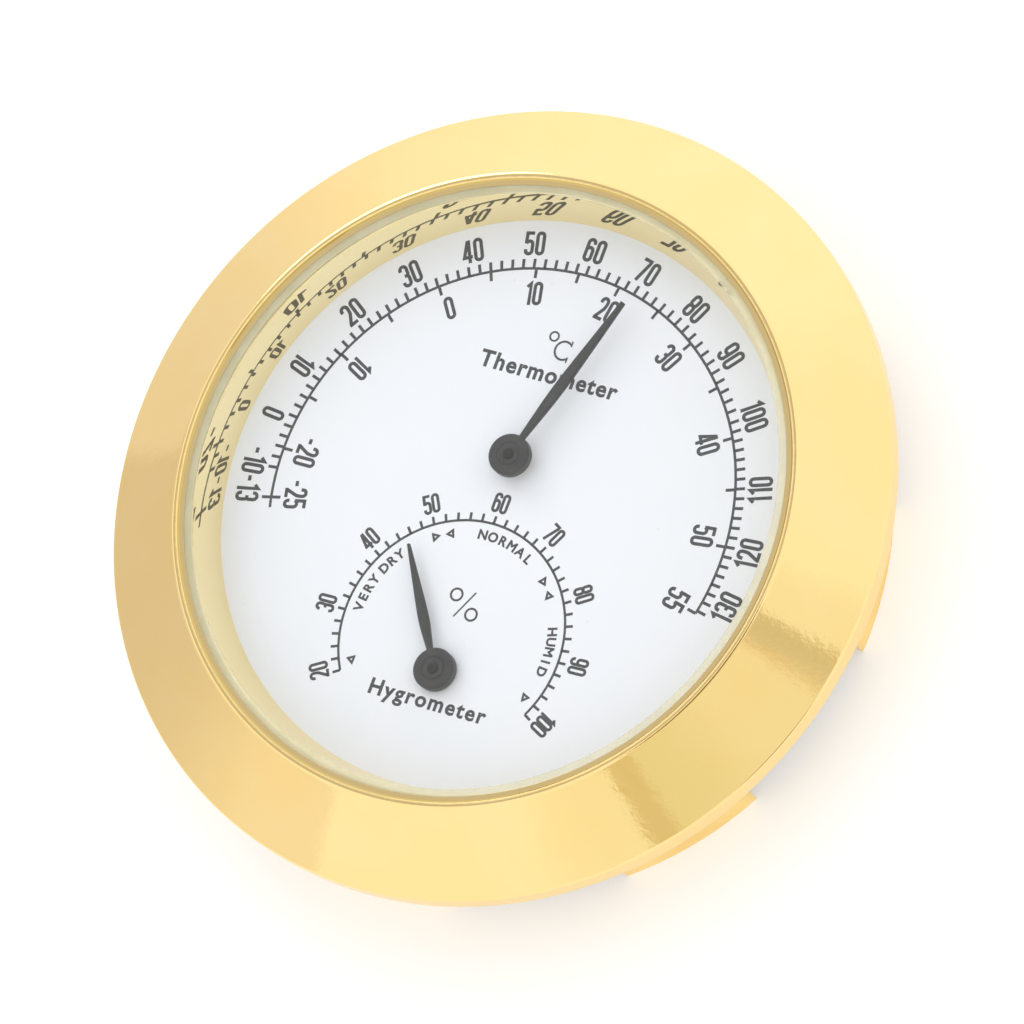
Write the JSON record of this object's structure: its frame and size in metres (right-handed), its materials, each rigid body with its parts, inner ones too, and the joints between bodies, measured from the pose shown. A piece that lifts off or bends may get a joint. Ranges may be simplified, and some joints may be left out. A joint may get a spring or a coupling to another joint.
{
  "type": "dial hygrometer",
  "caption": "Round panel-mounted dial hygrometer with a second pointer for temperature, a gold conical bezel, a glass lens and a push-fit can with notched rear vents.",
  "frame": {"origin": "centre of the rear plane, on the case's axis", "axes": "+Z out of the dial along the case's axis, +Y to the top of the dial, +X to its right as it is read"},
  "size_m": [0.072, 0.072, 0.0155],
  "materials": {
    "gold_bezel": "polished gold plating on the conical bezel",
    "gold_mirror": "mirror-bright gold plating inside the lens",
    "gold_can": "gold plating, satin",
    "lens_glass": "clear flat glass with a green edge",
    "clear_gasket": "milky clear vinyl",
    "dial_white": "satin white paint, printed in dark grey",
    "cover_plastic": "dark brown-grey moulded plastic",
    "bright_steel": "bright zinc-plated steel",
    "blackened_steel": "blackened steel",
    "frame_steel": "stamped plated steel",
    "turned_brass": "turned brass",
    "bimetal_strip": "rolled bimetal strip",
    "humidity_strip": "humidity-sensitive film on metal foil",
    "dial_ink": "dark grey screen print",
    "pointer_black": "matt charcoal"
  },
  "bodies": {
    "root": {"bezel": "gold_bezel", "lens": "lens_glass", "lens_gasket": "clear_gasket", "reflector_ring": "gold_mirror", "dial_plate": "dial_white", "housing": "gold_can", "back_cover": "cover_plastic", "cover_screws": "bright_steel", "thermometer_frame": "frame_steel", "thermometer_front_bush": "turned_brass", "thermometer_friction_washer": "bright_steel", "hygrometer_frame": "frame_steel", "hygrometer_front_bush": "turned_brass", "hygrometer_friction_washer": "bright_steel"},
    "thermometer_adjuster": {"thermometer_adjuster": "turned_brass", "thermometer_coil_pin": "turned_brass", "thermometer_coil": "bimetal_strip"},
    "thermometer_pointer": {"thermometer_pointer": "pointer_black", "thermometer_spindle": "blackened_steel", "thermometer_collet": "turned_brass"},
    "hygrometer_adjuster": {"hygrometer_adjuster": "turned_brass", "hygrometer_coil_pin": "turned_brass", "hygrometer_coil": "humidity_strip"},
    "hygrometer_pointer": {"hygrometer_pointer": "pointer_black", "hygrometer_spindle": "blackened_steel", "hygrometer_collet": "turned_brass"}
  },
  "joints": [
    {"name": "thermometer_calibration", "type": "hinge", "parent": "root", "child": "thermometer_adjuster", "pos_m": [0, 0.00405, 0.0034], "axis": [0, 0, -1], "range_deg": [-15, 15]},
    {"name": "hygrometer_calibration", "type": "hinge", "parent": "root", "child": "hygrometer_adjuster", "pos_m": [0, -0.01574, 0.0034], "axis": [0, 0, -1], "range_deg": [-15, 15]},
    {"name": "thermometer_reading", "type": "hinge", "parent": "thermometer_adjuster", "child": "thermometer_pointer", "pos_m": [0, 0.00405, 0.0104], "axis": [0, 0, -1], "range_deg": [-131, 94.5], "stiffness_Nm_per_rad": 0.000002, "deforming": ["thermometer_coil"]},
    {"name": "hygrometer_reading", "type": "hinge", "parent": "hygrometer_adjuster", "child": "hygrometer_pointer", "pos_m": [0, -0.01574, 0.0104], "axis": [0, 0, -1], "range_deg": [-71, 132.5], "stiffness_Nm_per_rad": 0.000002, "deforming": ["hygrometer_coil"]}
  ]
}
